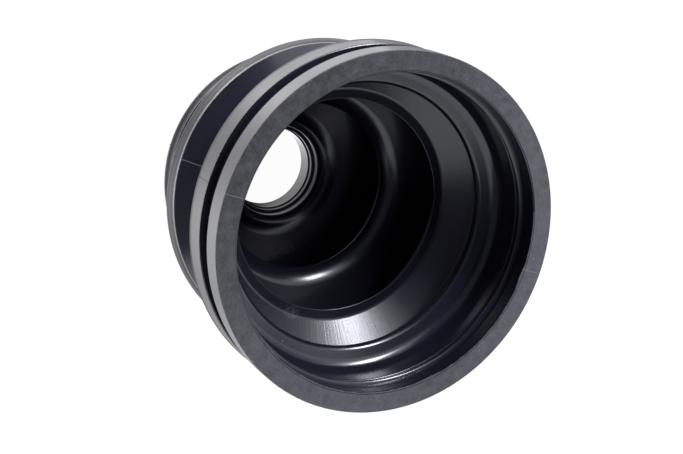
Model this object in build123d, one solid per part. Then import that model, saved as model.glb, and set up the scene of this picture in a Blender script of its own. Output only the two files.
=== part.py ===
from build123d import *
import os
from math import radians, tan

# A moulded rubber bellows boot: a stiff large collar, two folds and a small collar,
# all one piece of rubber with one round section about the Z axis. It stands on the
# flat end of the small collar, at Z = 0, with its mouth up. The section is written
# as depths below the mouth face and radii from the axis, in millimetres. Runs are
# lengths along the axis, and each one starts where the last one ended.

# Large collar, inside: lead-in with a sealing rib, seat bore, cone and stop rib
bore_radius = 41.0
lead_in_clearance = 0.45
lead_in_run = 8.1
seat_run = 8.2
cone_run = 1.4
cone_drop = 2.1
stop_face_run = 1.0
stop_height = 5.6
stop_width = 1.7
stop_back_run = 1.0
seal_rib_depth = 5.9
seal_rib_round = 0.6
mouth_inner_round = 0.5
cone_round = 1.5
stop_round = 1.2
stop_back_round = 0.8

# Large collar, outside: lip, groove for the clamp, broad ridge
collar_wall = 6.0
lip_width = 7.8
groove_width = 4.1
groove_depth = 2.6
ridge_width = 6.7
ridge_height = 4.5
mouth_outer_round = 0.3
lip_back_round = 1.0

# Barrel behind the ridge, hollow behind the stop rib, and the flank to the first ring
barrel_run = 10.0
barrel_round = 3.0
hollow_run = 5.3
hollow_round = 2.0
flank_run = 5.0
ring_step = 2.8
ring_step_round = 2.0

# Inner rings between the folds. The first has a flat step that faces the mouth, and
# the wall turns over in a broad roll to the edge of the second.
ring_insets = (12.0, 17.3)
ring_edge_rounds = (0.2, 0.4)
valley_runs = (2.3, 3.0)
valley_walls = (4.2, 4.7)
valley_round = 2.2
roll_run = 2.9
roll_rise = 1.9
roll_round = 7.0
roll_back_run = 1.1
roll_back_rise = 6.8

# Folds: each crest leans towards the small collar, with a steep flank behind it
wall = 2.6
rise_runs = (15.6, 14.6)
fall_runs = (7.4, 5.5)
crest_heights = (14.0, 12.5)
crest_widths = (6.2, 5.0)
crest_front_round = 3.5
crest_back_round = 5.0
inner_crest_widths = (3.0, 2.4)
inner_crest_lead = 0.4
inner_crest_rounds = (1.5, 2.5)

# Small collar: cone and face, wide entry, lead-in, bore, and a lip for its clamp
small_bore_radius = 12.0
small_cone_run = 1.4
small_cone_rise = 2.5
small_cone_round = 9.0
small_face_width = 2.1
small_face_round = 3.0
entry_clearance = 1.3
entry_run = 2.0
small_lead_clearance = 0.4
small_lead_run = 1.6
small_seat_run = 5.6
small_wall = 3.6
small_lip_width = 2.0
small_lip_height = 2.0
small_neck_run = 2.4

# Rounds shared by many edges, and the most of a wall that its two rounds may take
edge_round = 0.5
fine_round = 0.15
root_fillet = 1.0
round_share = 0.96

# Places along the axis and radii that follow from the sizes above
seat_end = lead_in_run + seat_run
cone_end = seat_end + cone_run
stop_start = cone_end + stop_face_run
stop_end = stop_start + stop_width
hollow_start = stop_end + stop_back_run
hollow_end = hollow_start + hollow_run
first_ring = hollow_end + flank_run
second_ring = first_ring + rise_runs[0] + fall_runs[0]
small_face = second_ring + rise_runs[1] + fall_runs[1]
entry_end = small_face + entry_run
small_seat_start = entry_end + small_lead_run
overall_length = small_seat_start + small_seat_run
ring_depths = (first_ring, second_ring)
ring_radii = [bore_radius - inset for inset in ring_insets]
crest_depths = [ring + rise for ring, rise in zip(ring_depths, rise_runs)]
crest_radii = [ring + height for ring, height in zip(ring_radii, crest_heights)]
lead_in_radius = bore_radius + lead_in_clearance
cone_radius = bore_radius - cone_drop
stop_radius = bore_radius - stop_height
collar_radius = bore_radius + collar_wall
groove_radius = collar_radius - groove_depth
groove_end = lip_width + groove_width
ridge_end = groove_end + ridge_width
barrel_radius = collar_radius - ridge_height
hollow_radius = barrel_radius - wall
entry_radius = small_bore_radius + entry_clearance
face_radius = entry_radius + small_face_width
small_lead_radius = small_bore_radius + small_lead_clearance
small_outer_radius = small_bore_radius + small_wall
small_lip_start = overall_length - small_lip_width


def ring_edge(index):
    """Inner edge of one ring."""
    return (ring_depths[index], ring_radii[index], ring_edge_rounds[index])


def valley(index):
    """Outside of the wall where an inner ring comes in between the folds."""
    depth, radius = ring_depths[index], ring_radii[index]
    return (depth + valley_runs[index], radius + valley_walls[index], valley_round)


def crest(index):
    """Two corners of the outside of a fold's crest."""
    middle, half = crest_depths[index], crest_widths[index] / 2
    return [
        (middle - half, crest_radii[index], crest_front_round),
        (middle + half, crest_radii[index], crest_back_round),
    ]


def inner_crest(index):
    """Two corners of the inside of a fold's crest, one wall in from its outside."""
    middle, half = crest_depths[index] - inner_crest_lead, inner_crest_widths[index] / 2
    radius = crest_radii[index] - wall
    return [
        (middle - half, radius, inner_crest_rounds[0]),
        (middle + half, radius, inner_crest_rounds[1]),
    ]


def fitted_rounds(places, sizes):
    """Corner rounds, made smaller only where two of them would meet on one wall."""
    spots = [Vector(*place) for place in places]
    sides = [spot - spots[i - 1] for i, spot in enumerate(spots)]
    turns = [side.get_angle(sides[(i + 1) % len(sides)]) for i, side in enumerate(sides)]
    reach = [size * tan(radians(turn) / 2) for size, turn in zip(sizes, turns)]
    room = [round_share * side.length / (reach[i - 1] + reach[i]) for i, side in enumerate(sides)]
    return [size * min(1, room[i], room[(i + 1) % len(room)]) for i, size in enumerate(sizes)]


outside = [
    (0, collar_radius, mouth_outer_round),
    (lip_width, collar_radius, lip_back_round),
    (lip_width, groove_radius, edge_round),
    (groove_end, groove_radius, edge_round),
    (groove_end, collar_radius, edge_round),
    (ridge_end, collar_radius, edge_round),
    (ridge_end, barrel_radius, root_fillet),
    (ridge_end + barrel_run, barrel_radius, barrel_round),
    valley(0),
    *crest(0),
    (second_ring - roll_back_run, ring_radii[1] + roll_back_rise, roll_round - wall),
    valley(1),
    *crest(1),
    (small_face + small_neck_run, small_outer_radius, root_fillet),
    (small_lip_start, small_outer_radius, edge_round),
    (small_lip_start, small_outer_radius + small_lip_height, edge_round),
    (overall_length, small_outer_radius + small_lip_height, edge_round),
]

inside = [
    (0, lead_in_radius, mouth_inner_round),
    (lead_in_run, lead_in_radius, fine_round),
    (lead_in_run, bore_radius, fine_round),
    (seat_end, bore_radius, cone_round),
    (cone_end, cone_radius, cone_round),
    (stop_start, stop_radius, stop_round),
    (stop_end, stop_radius, stop_back_round),
    (hollow_start, hollow_radius, root_fillet),
    (hollow_end, hollow_radius, hollow_round),
    (first_ring, ring_radii[0] + ring_step, ring_step_round),
    ring_edge(0),
    *inner_crest(0),
    (second_ring - roll_run, ring_radii[1] + roll_rise, roll_round),
    ring_edge(1),
    *inner_crest(1),
    (small_face - small_cone_run, face_radius + small_cone_rise, small_cone_round),
    (small_face, face_radius, small_face_round),
    (small_face, entry_radius, fine_round),
    (entry_end, entry_radius, fine_round),
    (entry_end, small_lead_radius, fine_round),
    (small_seat_start, small_lead_radius, fine_round),
    (small_seat_start, small_bore_radius, fine_round),
    (overall_length, small_bore_radius, edge_round),
]

section = outside + inside[::-1]
corners = [(radius, overall_length - depth) for depth, radius, _ in section]
rounds = fitted_rounds(corners, [rounding for _, _, rounding in section])
outline = FilletPolyline(*corners, radius=rounds, close=True)
boot = revolve(Plane.XZ * make_face(outline), Axis.Z)

# The sealing rib is half buried in the lead-in, and its crest is level with the seat.
seal_rib = Torus(bore_radius + seal_rib_round, seal_rib_round)
boot += Pos(0, 0, overall_length - seal_rib_depth) * seal_rib

boot.label = "bellows_boot"
os.makedirs("parts", exist_ok=True)
export_step(boot, "parts/bellows_boot.step")
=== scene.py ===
import math
import random

import bmesh
import bpy
from mathutils import Matrix, Vector


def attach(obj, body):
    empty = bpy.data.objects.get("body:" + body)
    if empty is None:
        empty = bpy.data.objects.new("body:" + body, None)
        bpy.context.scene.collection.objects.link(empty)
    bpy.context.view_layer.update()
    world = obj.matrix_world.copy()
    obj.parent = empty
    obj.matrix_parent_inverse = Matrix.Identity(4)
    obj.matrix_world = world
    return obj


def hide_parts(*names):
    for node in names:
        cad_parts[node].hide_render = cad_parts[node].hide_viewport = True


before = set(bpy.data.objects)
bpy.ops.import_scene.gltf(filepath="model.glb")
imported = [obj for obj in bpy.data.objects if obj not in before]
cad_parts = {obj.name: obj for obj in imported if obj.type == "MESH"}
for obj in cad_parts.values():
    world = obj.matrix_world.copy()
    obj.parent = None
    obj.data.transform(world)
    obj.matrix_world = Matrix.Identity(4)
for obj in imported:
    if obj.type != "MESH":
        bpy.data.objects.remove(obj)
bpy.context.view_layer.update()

# ---- Boot body ----
# One moulding of black rubber, round about Z: a stiff large collar, two folds and a
# small collar. The section is cut out as a flat shape, its corners are rounded as the
# mould's are, and the wall is then turned once about the axis.
scene = bpy.context.scene
mm = 0.001
length = 84.0
turn_steps = 216
fewest_bends, most_bends = 4, 13
degrees_per_bend, bends_per_mm = 6, 1.2
finest_round, finest_bends = 0.2, 3

# Each corner is a depth below the mouth, a radius, and the radius of its own round.
outside_corners = [
    (0.0, 47.0, 0.3), (7.7, 47.0, 2.0), (7.8, 44.4, 0.5), (11.9, 44.4, 0.5),
    (11.9, 46.8, 0.5), (18.0, 46.75, 0.1), (18.6, 47.0, 0.2), (18.6, 42.5, 1.0),
    (28.6, 42.5, 3.0), (34.0, 33.2, 2.2), (44.2, 43.0, 3.5), (50.4, 43.0, 5.0),
    (53.6, 30.5, 4.4), (57.7, 28.4, 2.2), (66.8, 36.2, 3.26), (71.8, 36.2, 4.65),
    (77.2, 15.6, 1.0), (82.0, 15.6, 0.5), (82.0, 17.6, 0.5), (84.0, 17.6, 0.5),
]
inside_corners = [
    (84.0, 12.0, 0.5), (78.4, 12.0, 0.15), (78.4, 12.4, 0.15), (76.8, 12.4, 0.15),
    (76.8, 13.1, 0.15), (74.8, 13.55, 0.3), (74.8, 15.4, 3.0), (73.4, 17.9, 9.0),
    (70.1, 33.6, 2.27), (67.7, 33.6, 1.36), (54.7, 23.7, 0.4), (51.8, 25.6, 7.0),
    (48.4, 40.4, 2.5), (45.4, 40.4, 1.5), (31.7, 29.0, 0.2), (31.7, 31.8, 2.0),
    (26.7, 39.9, 2.0), (21.4, 39.9, 1.0), (20.4, 35.4, 0.6), (18.7, 35.4, 1.6),
    (17.6, 38.9, 5.0), (16.3, 41.0, 3.0), (8.1, 41.0, 0.35), (8.1, 41.45, 0.05),
    (6.48, 41.45, 0.05), (5.9, 39.27, 0.58), (5.32, 41.45, 0.05), (0.0, 41.45, 0.5),
]


def rounded_section(corners):
    """The closed section as one flat face, with each of its corners rounded."""
    shape = bmesh.new()
    points = [shape.verts.new((radius * mm, 0, (length - depth) * mm))
              for depth, radius, _ in corners]
    shape.faces.new(points)
    half_turns = []
    for index, point in enumerate(points):
        before = points[index - 1].co - point.co
        after = points[(index + 1) % len(points)].co - point.co
        half_turns.append((math.pi - before.angle(after)) / 2)
    for point, (_, _, rounding), half_turn in zip(points, corners, half_turns):
        fineness = math.degrees(half_turn) / degrees_per_bend + bends_per_mm * rounding
        bends = max(fewest_bends, min(most_bends, round(fineness)))
        if rounding < finest_round:
            bends = finest_bends
        bmesh.ops.bevel(shape, geom=[point], offset=rounding * mm * math.tan(half_turn),
                        offset_type="ABSOLUTE", affect="VERTICES", segments=bends,
                        profile=0.5, material=-1, clamp_overlap=False)
    return shape


wall = rounded_section(outside_corners + inside_corners)
wall.faces.ensure_lookup_table()
outline = [vert.co.copy() for vert in wall.faces[0].verts]
bmesh.ops.delete(wall, geom=wall.faces[:], context="FACES_ONLY")
bmesh.ops.spin(wall, geom=wall.verts[:] + wall.edges[:], cent=(0, 0, 0), axis=(0, 0, 1),
               dvec=(0, 0, 0), angle=math.tau, steps=turn_steps, use_merge=True)
bmesh.ops.recalc_face_normals(wall, faces=wall.faces[:])
for face in wall.faces:
    face.smooth = True
boot_mesh = bpy.data.meshes.new("boot_body")
wall.to_mesh(boot_mesh)
wall.free()
boot = bpy.data.objects.new("boot_body", boot_mesh)
boot.modifiers.new("even_shading", "WEIGHTED_NORMAL").weight = 100
scene.collection.objects.link(boot)


class Socket:
    """A shader value that can be used in Python sums."""

    def __init__(self, tree, link):
        self.tree, self.link = tree, link

    def maths(self, operation, other=None, swap=False):
        """A Math node on this value and the other one, which comes first when swapped."""
        node = self.tree.nodes.new("ShaderNodeMath")
        node.operation = operation
        for slot, value in enumerate((other, self) if swap else (self, other)):
            if isinstance(value, Socket):
                self.tree.links.new(value.link, node.inputs[slot])
            elif value is not None:
                node.inputs[slot].default_value = value
        return Socket(self.tree, node.outputs[0])

    def __add__(self, other):
        return self.maths("ADD", other)

    def __radd__(self, other):
        return self.maths("ADD", other)

    def __sub__(self, other):
        return self.maths("SUBTRACT", other)

    def __rsub__(self, other):
        return self.maths("SUBTRACT", other, swap=True)

    def __mul__(self, other):
        return self.maths("MULTIPLY", other)

    def __rmul__(self, other):
        return self.maths("MULTIPLY", other)

    def __truediv__(self, other):
        return self.maths("DIVIDE", other)

    def __pow__(self, other):
        return self.maths("POWER", other)


class Shading:
    """The nodes of one material or of the world."""

    def __init__(self, owner):
        owner.use_nodes = True
        self.tree = owner.node_tree

    def node(self, kind, settings=None, values=None):
        """Adds a node of that type, sets it up and fills its sockets."""
        node = self.tree.nodes.new(kind)
        for name, setting in (settings or {}).items():
            setattr(node, name, setting)
        for name, value in (values or {}).items():
            self.feed(node.inputs[name], value)
        return node

    def feed(self, socket, value):
        """Gives a socket a link or a plain value."""
        if isinstance(value, Socket):
            self.tree.links.new(value.link, socket)
        elif isinstance(value, bpy.types.NodeSocket):
            self.tree.links.new(value, socket)
        else:
            socket.default_value = value

    def axes(self, vector):
        """The three parts of a vector."""
        parts = self.node("ShaderNodeSeparateXYZ", values={0: vector})
        return [Socket(self.tree, part) for part in parts.outputs]

    def vector(self, x, y, z):
        """A vector made of its three parts."""
        return self.node("ShaderNodeCombineXYZ", values={0: x, 1: y, 2: z}).outputs[0]

    def noise(self, place, scale, detail=2.0, roughness=0.5):
        """Fractal noise from 0 to 1."""
        node = self.node("ShaderNodeTexNoise", values={
            "Vector": place, "Scale": scale, "Detail": detail, "Roughness": roughness})
        return Socket(self.tree, node.outputs[0])

    def band(self, value, low, high, at_low=0.0, at_high=1.0):
        """A soft step from one level to another as a value rises."""
        node = self.node("ShaderNodeMapRange", {"interpolation_type": "SMOOTHSTEP"}, {
            "Value": value, "From Min": low, "From Max": high,
            "To Min": at_low, "To Max": at_high})
        return Socket(self.tree, node.outputs[0])

    def specks(self, place, scale, size, soft_edge=1.6, rarity=0.72):
        """Sparse round dots: 1 in a dot and 0 elsewhere."""
        node = self.node("ShaderNodeTexVoronoi", values={"Vector": place, "Scale": scale})
        chosen, _, _ = self.axes(node.outputs["Color"])
        near = Socket(self.tree, node.outputs["Distance"])
        dot = self.band(near, size, size * soft_edge, 1.0, 0.0)
        return dot * chosen.maths("GREATER_THAN", rarity)

    def bump(self, height, distance, strength):
        """A normal that follows a height."""
        return self.node("ShaderNodeBump", values={
            "Height": height, "Distance": distance, "Strength": strength}).outputs[0]

    def tone(self, level, red=1.0, blue=1.0):
        """A grey of that level, with its red and blue shifted by those shares."""
        return self.node("ShaderNodeCombineColor", values={
            0: level * red, 1: level, 2: level * blue}).outputs[0]


# Moulded rubber is satin black with a blue cast. The flank before the first inner ring
# keeps fine scores from the core being drawn, and has one scuffed place. The flank
# before the small collar has a patch of fine scratches.
scored_from, scored_to = (0.0519, 0.0525), (0.0568, 0.0576)
scored_inside = (0.0395, 0.0400)
scuff_place, scuff_tightness = (0.0308, 0.0035, 0.0534), (420, 230, 560)
scratch_place = (0.0193, 0.0130, 0.0117)
scratch_run, scratch_side = (-0.493, 0.759, 0.426), (-0.870, -0.424, -0.252)

moulded = bpy.data.materials.new("moulded_rubber")
smooth = Shading(moulded)
place = smooth.node("ShaderNodeTexCoord").outputs["Object"]
x, y, z = smooth.axes(place)
radius = (x * x + y * y) ** 0.5
angle = y.maths("ARCTAN2", x)
cloud = smooth.noise(place, 60, 4)
scored = smooth.band(z, *scored_from) * smooth.band(z, *scored_to, 1, 0)
scored = scored * smooth.band(radius, *scored_inside, 1, 0)
scores = smooth.noise(smooth.vector(angle * 80, z * 60, 0), 1, 3, 0.6)
off_x, off_y, off_z = [(axis - centre) * tightness for axis, centre, tightness
                       in zip((x, y, z), scuff_place, scuff_tightness)]
from_scuff = (off_x * off_x + off_y * off_y + off_z * off_z) ** 0.5
scuff = smooth.band(from_scuff, 0.2, 1.0, 1, 0)
scuff = scuff * smooth.band(smooth.noise(place, 1500, 3, 0.7), 0.38, 0.55)
dots = smooth.specks(place, 210, 0.025)
off_x, off_y, off_z = [axis - centre for axis, centre in zip((x, y, z), scratch_place)]
along = scratch_run[0] * off_x + scratch_run[1] * off_y + scratch_run[2] * off_z
across = scratch_side[0] * off_x + scratch_side[1] * off_y + scratch_side[2] * off_z
from_scratches = ((along * 200) ** 2 + (across * 400) ** 2) ** 0.5
scratched = smooth.band(from_scratches, 0.5, 1.0, 1, 0)
scratches = smooth.noise(smooth.vector(along * 350, across * 5000, 0), 1, 2, 0.6)
scratched = scratched * smooth.band(scratches, 0.50, 0.66)
paleness = 0.0055 + 0.003 * cloud + 0.045 * scuff + 0.02 * scratched + 0.12 * dots
dullness = 0.17 + 0.06 * cloud + 0.05 * scored + 0.3 * scuff + 0.2 * scratched + 0.3 * dots
grain = smooth.noise(place, 2200, 2)
relief = smooth.bump(0.05 * grain + 0.45 * scored * scores, 0.00005, 1.0)
rubber = smooth.tree.nodes["Principled BSDF"]
smooth.feed(rubber.inputs["Base Color"], smooth.tone(paleness, 0.95, 1.7 - 0.7 * scuff))
smooth.feed(rubber.inputs["Roughness"], dullness)
smooth.feed(rubber.inputs["Normal"], relief)

# Cut rubber is the trimmed face of the mouth. It is matt, with rings from the knife,
# mottling and the mould's parting line. Its colour also holds painted light: palest at the
# back (+Y) and right (+X), painted shade darkest in front, and a painted sheen on the
# rings.
cut_depth, cut_radius = 0.4, 41.9
parting_across, parting_width = (0.9737, 0.2279), (0.00007, 0.00016)
painted_light_towards = (-0.5, 0.866)

trimmed = bpy.data.materials.new("cut_rubber")
matt = Shading(trimmed)
place = matt.node("ShaderNodeTexCoord").outputs["Object"]
x, y, _ = matt.axes(place)
radius = (x * x + y * y) ** 0.5
angle = y.maths("ARCTAN2", x)
mottle = matt.noise(place, 420, 4, 0.65)
rings = matt.noise(matt.vector(radius * 2600, angle * 5, 0), 1, 3, 0.6)
# Painted sheen: towards -X the real knife rings get more colour contrast, standing in for a
# sheen.
painted_sheen_side = matt.band(angle.maths("ABSOLUTE"), 2.2, 3.0)
towards_painted_light = (painted_light_towards[1] * y + painted_light_towards[0] * x) / radius
# Painted light and painted shade in the face's colour: palest towards +Y and +X, darkest in
# front.
painted_light_level = 0.34 + matt.band(towards_painted_light, 0.3, 1.0, 0.0, 0.45)
painted_light_level = painted_light_level + 4.0 * y + 5.0 * (x + 0.01) + 85 * x * x - 60 * y * y
flecks = matt.noise(place, 1600, 3, 0.7)
off_parting = (parting_across[0] * x + parting_across[1] * y).maths("ABSOLUTE")
parting = matt.band(off_parting, *parting_width, 1, 0)
shade = painted_light_level + 1.6 * (mottle - 0.5) + 1.5 * (flecks - 0.5) + 1.5 * parting
shade = shade + (0.3 + 1.0 * painted_sheen_side) * (rings - 0.5)
dots = matt.specks(place, 320, 0.04)
paleness = 0.016 + 0.036 * shade + 0.12 * dots
dullness = 0.50 + 0.15 * mottle - 0.10 * painted_sheen_side * rings
pits = matt.noise(place, 3000, 2)
relief = matt.bump(0.4 * pits + 0.5 * rings, 0.00008, 0.8)
face_rubber = matt.tree.nodes["Principled BSDF"]
matt.feed(face_rubber.inputs["Base Color"], matt.tone(paleness, 1.01, 1.12))
matt.feed(face_rubber.inputs["Roughness"], dullness)
matt.feed(face_rubber.inputs["Normal"], relief)

boot_mesh.materials.append(moulded)
boot_mesh.materials.append(trimmed)
for face in boot_mesh.polygons:
    near_mouth = face.center.z > (length - cut_depth) * mm
    if near_mouth and face.center.xy.length > cut_radius * mm:
        face.material_index = 1
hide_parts("bellows_boot")
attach(boot, "root")

# ---- Mould seam ----
# The halves of the mould meet in one plane and leave a fine line of flash up the
# outside of the boot on both sides. It stands highest on the crests of the folds and
# on the corners of the ridge.
seam_angles = (283.1, 103.3)
seam_half_width, seam_height, seam_root = 0.11, 0.06, 0.05
seam_unevenness = (0.6, 1.3)
seam_peaks = ((11.9, 0.22), (18.6, 0.20), (46.0, 0.42), (68.5, 0.45))
peak_run = 0.9
seam_top = Vector((47.0, 0, length - 0.3)) * mm
seam_foot = Vector((17.6, 0, 0.5)) * mm

start = min(range(len(outline)), key=lambda i: (outline[i] - seam_top).length)
outline = outline[start:] + outline[:start]
if outline[1].z > outline[0].z:
    outline = outline[:1] + outline[:0:-1]
end = min(range(len(outline)), key=lambda i: (outline[i] - seam_foot).length)
seam_path = outline[:end + 1]
dice = random.Random(4)
seam = bmesh.new()
for angle in seam_angles:
    turned = Matrix.Rotation(math.radians(angle), 4, "Z")
    rows = []
    for index, place in enumerate(seam_path):
        along = (seam_path[min(index + 1, end)] - seam_path[max(index - 1, 0)]).normalized()
        outward = Vector((-along.z, 0, along.x))
        height = seam_height * dice.uniform(*seam_unevenness)
        for depth, peak in seam_peaks:
            height += peak * math.exp(-((length - place.z / mm - depth) / peak_run) ** 2)
        side = Vector((0, seam_half_width * mm, 0))
        sunk = place - outward * seam_root * mm
        rows.append([seam.verts.new(turned @ spot)
                     for spot in (sunk - side, place + outward * height * mm, sunk + side)])
    for near, far in zip(rows, rows[1:]):
        for k in range(2):
            seam.faces.new((near[k], near[k + 1], far[k + 1], far[k]))
bmesh.ops.recalc_face_normals(seam, faces=seam.faces[:])
seam_mesh = bpy.data.meshes.new("mould_seam")
seam.to_mesh(seam_mesh)
seam.free()
seam_mesh.materials.append(moulded)
seam_object = bpy.data.objects.new("mould_seam", seam_mesh)
scene.collection.objects.link(seam_object)
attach(seam_object, "root")

# ---- Flash at the mouth ----
# A paper-thin ragged rim is left where the mouth was cut, along the inner edge of its
# face. It is torn and reaches farthest in next to the mould seam.
flash_start, flash_end, flash_steps = -40, 125, 1100
start_taper, end_taper = 25, 12
flash_base, flash_edge, flash_foot = 42.1, 41.60, 41.5
least_reach = 0.05
ragged_hold, ragged_step = 0.80, (-0.05, 0.07)
tear_angle, tear_width, tear_reach = 99.5, 3.0, 0.55
tear_unevenness = (0.3, 1.2)
lobe_angle, lobe_width, lobe_reach = 49, 2.5, 0.25

flash = bmesh.new()
rows = []
reach = 0.0
for step in range(flash_steps + 1):
    angle = flash_start + (flash_end - flash_start) * step / flash_steps
    reach = ragged_hold * reach + dice.uniform(*ragged_step)
    ends = min(1, (angle - flash_start) / start_taper, (flash_end - angle) / end_taper)
    tear = tear_reach * math.exp(-((angle - tear_angle) / tear_width) ** 2)
    tear *= dice.uniform(*tear_unevenness)
    lobe = lobe_reach * math.exp(-((angle - lobe_angle) / lobe_width) ** 2)
    inner = flash_edge - ends * (least_reach + max(0, reach)) - tear - lobe
    turned = Matrix.Rotation(math.radians(angle), 4, "Z")
    rows.append([flash.verts.new(turned @ (Vector(spot) * mm)) for spot in (
        (flash_base, 0, length - 0.02), (inner + 0.06, 0, length - 0.03),
        (inner, 0, length - 0.12), (inner + 0.03, 0, length - 0.22),
        (flash_foot, 0, length - 0.42))])
for near, far in zip(rows, rows[1:]):
    for k in range(4):
        flash.faces.new((near[k], near[k + 1], far[k + 1], far[k]))
bmesh.ops.recalc_face_normals(flash, faces=flash.faces[:])
flash_mesh = bpy.data.meshes.new("mouth_flash")
flash.to_mesh(flash_mesh)
flash.free()
flash_mesh.materials.append(trimmed)
flash_object = bpy.data.objects.new("mouth_flash", flash_mesh)
scene.collection.objects.link(flash_object)
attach(flash_object, "root")

# ---- Crumbs ----
# Loose crumbs of pale dull dust, each a small flattened lump. Most lie on the cut face,
# and two are caught by the seam on the crests of the folds.
crumb_width, crumb_thickness = 0.7, 0.09

# Each crumb is a depth below the mouth, a radius, an angle and a size.
crumbs = (
    (0.04, 45.0, 249.3, 0.28), (0.04, 43.1, 312.8, 0.20), (0.04, 43.0, 8.3, 0.20),
    (0.04, 42.7, 354.7, 0.16), (0.04, 45.2, 119.7, 0.24), (0.04, 42.4, 200.4, 0.30),
    (0.04, 43.9, 250.6, 0.14), (0.04, 44.6, 331.0, 0.13), (0.04, 45.9, 24.0, 0.13),
    (0.04, 43.4, 71.0, 0.13), (43.6, 42.2, 283.1, 0.30), (65.9, 35.0, 283.1, 0.34),
)
dust = bmesh.new()
for depth, radius, angle, size in crumbs:
    place = (Matrix.Rotation(math.radians(angle), 4, "Z")
             @ Matrix.Translation(Vector((radius, 0, length - depth)) * mm))
    shape = Matrix.Diagonal((size, size * crumb_width, crumb_thickness * size, 1))
    bmesh.ops.create_icosphere(dust, subdivisions=1, radius=mm, matrix=place @ shape)
dust_mesh = bpy.data.meshes.new("face_crumbs")
dust.to_mesh(dust_mesh)
dust.free()

powder = bpy.data.materials.new("pale_dust")
powder.use_nodes = True
dull_grey = powder.node_tree.nodes["Principled BSDF"]
dull_grey.inputs["Base Color"].default_value = (0.42, 0.42, 0.41, 1)
dull_grey.inputs["Roughness"].default_value = 0.9
dust_mesh.materials.append(powder)
dust_object = bpy.data.objects.new("face_crumbs", dust_mesh)
scene.collection.objects.link(dust_object)
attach(dust_object, "root")

# ---- Floor ----
# A wide white sheet that the boot stands on, plain white to the camera. To reflections it
# glows as a painted reflection: bright in front with a painted shadow under the camera, dim
# behind, painted shade next to the boot and brighter away from it.
floor_reach = 6.0
next_to_boot, open_room = (0.052, 0.085), (0.15, 0.50)
hole_radius, hole_towards = 0.0145, (-0.8, 0.6)
paper_white, brightest = 1.08, 5.0
# Painted reflection levels by compass angle; the low one near -84 is a painted shadow under
# the camera.
painted_reflection_levels = (
    (-165, 1.8), (-150, 2.9), (-133, 2.8), (-119, 4.3), (-104, 2.5), (-84, 1.7),
    (-60, 3.2), (-42, 2.5), (-20, 1.6), (50, 0.5), (160, 0.35), (174, 0.8),
)

floor_mesh = bpy.data.meshes.new("floor")
sweep = bmesh.new()
bmesh.ops.create_grid(sweep, x_segments=1, y_segments=1, size=floor_reach)
sweep.to_mesh(floor_mesh)
sweep.free()
floor = bpy.data.objects.new("floor", floor_mesh)
scene.collection.objects.link(floor)

paper = bpy.data.materials.new("white_paper")
sheet = Shading(paper)
white = sheet.tree.nodes["Principled BSDF"]
white.inputs["Base Color"].default_value = (0.8, 0.8, 0.8, 1)
white.inputs["Roughness"].default_value = 0.9
rays = sheet.node("ShaderNodeLightPath")
camera_ray = Socket(sheet.tree, rays.outputs["Is Camera Ray"])
glossy_ray = Socket(sheet.tree, rays.outputs["Is Glossy Ray"])
spot = sheet.node("ShaderNodeTexCoord").outputs["Object"]
x, y, _ = sheet.axes(spot)
distance = (x * x + y * y) ** 0.5
turn = y.maths("ARCTAN2", x) / math.tau + 0.5
levels = sheet.node("ShaderNodeValToRGB", values={0: turn})
ramp = levels.color_ramp
ramp.interpolation = "B_SPLINE"
for azimuth, level in painted_reflection_levels:
    share = level / brightest
    ramp.elements.new((azimuth + 180) / 360).color = (share, share, share, 1)
ramp.elements.remove(ramp.elements[0])
ramp.elements.remove(ramp.elements[-1])
# Painted shade next to the boot and painted light farther out, seen only in reflections.
painted_shade_near_boot = sheet.band(distance, *next_to_boot, 0.25, 1.0)
painted_light_far_out = sheet.band(distance, *open_room, 1.0, 6.5)
open_floor = Socket(sheet.tree, levels.outputs[0]) * brightest * painted_shade_near_boot * painted_light_far_out
# Painted light and painted shade on the floor under the hole, seen only in reflections.
across_hole = y * hole_towards[1] + x * hole_towards[0]
painted_light_and_shade_under_hole = sheet.band(across_hole, -0.008, 0.0095, 0.0, 2.45)
in_hole = distance.maths("LESS_THAN", hole_radius)
painted_reflection = open_floor + (painted_light_and_shade_under_hole - open_floor) * in_hole
# Reflections see the sheet glowing with these painted levels; the camera sees plain white.
shine = paper_white + (painted_reflection - paper_white) * glossy_ray
glow = sheet.node("ShaderNodeEmission", values={
    "Color": sheet.tone(shine, 1.0, 1.0 + 0.02 * glossy_ray)})
mix = sheet.node("ShaderNodeMixShader", values={
    0: 0.9 * camera_ray.maths("MAXIMUM", glossy_ray)})
sheet.feed(mix.inputs[1], white.outputs[0])
sheet.feed(mix.inputs[2], glow.outputs[0])
sheet.feed(sheet.tree.nodes["Material Output"].inputs["Surface"], mix.outputs[0])
floor_mesh.materials.append(paper)

# ---- Room ----
# White walls, a dim ceiling that comes lower behind the boot, a dark side where the
# camera stands and a duller stretch of wall on the far left. The camera sees white.
ceiling_dip_towards, camera_side_towards, dull_wall_towards = 92, 279.5, 150

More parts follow.
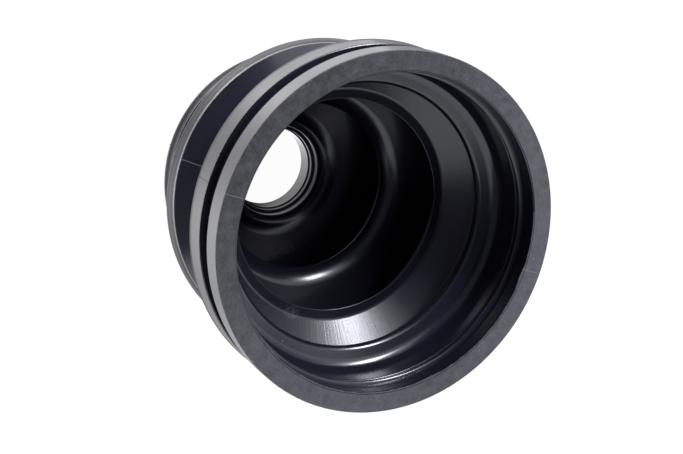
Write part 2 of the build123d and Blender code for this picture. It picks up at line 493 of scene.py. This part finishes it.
world = bpy.data.worlds.new("room")
scene.world = world
room = Shading(world)
direction = room.node("ShaderNodeTexCoord").outputs["Generated"]
x, y, z = room.axes(direction)
level_length = (x * x + y * y) ** 0.5


def facing(azimuth):
    """How far a direction points to that compass angle, from -1 to 1."""
    turned_by = math.radians(azimuth)
    return (x * math.cos(turned_by) + y * math.sin(turned_by)) / level_length


height = z + room.band(facing(ceiling_dip_towards), 0.67, 0.86, 0.0, 0.20)
walls = room.band(height, 0.83, 0.95, 1.75, 0.08)
camera_side = room.band(facing(camera_side_towards), 0.38, 0.50, 1.0, 0.10)
far_left = room.band(facing(dull_wall_towards), 0.92, 0.99, 0.0, 0.6)
dull_wall = 1 - far_left * room.band(z, 0.55, 0.70, 1.0, 0.0)
lit = walls * camera_side * dull_wall
seen = Socket(room.tree, room.node("ShaderNodeLightPath").outputs["Is Camera Ray"])
strength = lit + (1 - lit) * seen
red = 0.97 + 0.03 * seen
blue = room.band(strength, 0.1, 0.9, 1.4, 1.1) * (1 - seen) + seen
background = room.tree.nodes["Background"]
room.feed(background.inputs["Color"], room.tone(strength, red, blue))

# ---- Key light and camera ----
# One large soft box high on the left (-X) lights the inside. The camera looks down
# into the mouth from in front (-Y).
key_aim = Vector((0, 0, 0.06))
camera_place = (0.0, -0.20155, 0.4133)
camera_turn = Matrix((
    (-0.492915, -0.870009, -0.010898),
    (0.758617, -0.423604, -0.495035),
    (0.426069, -0.252278, 0.868804),
))

key_data = bpy.data.lights.new("key", "AREA")
key_data.shape = "RECTANGLE"
key_data.size, key_data.size_y = 0.22, 0.42
key_data.energy = 13.5
key_data.color = (0.94, 0.97, 1.05)
key = bpy.data.objects.new("key", key_data)
scene.collection.objects.link(key)
key.location = (-0.761, -0.085, 0.638)
key.rotation_euler = (key_aim - key.location).to_track_quat("-Z", "Y").to_euler()

camera_data = bpy.data.cameras.new("camera")
camera_data.sensor_width = 36.0
camera_data.lens = 81.28
camera = bpy.data.objects.new("camera", camera_data)
scene.collection.objects.link(camera)
camera.matrix_world = Matrix.Translation(camera_place) @ camera_turn.to_4x4()
scene.camera = camera
scene.view_settings.view_transform = "Standard"
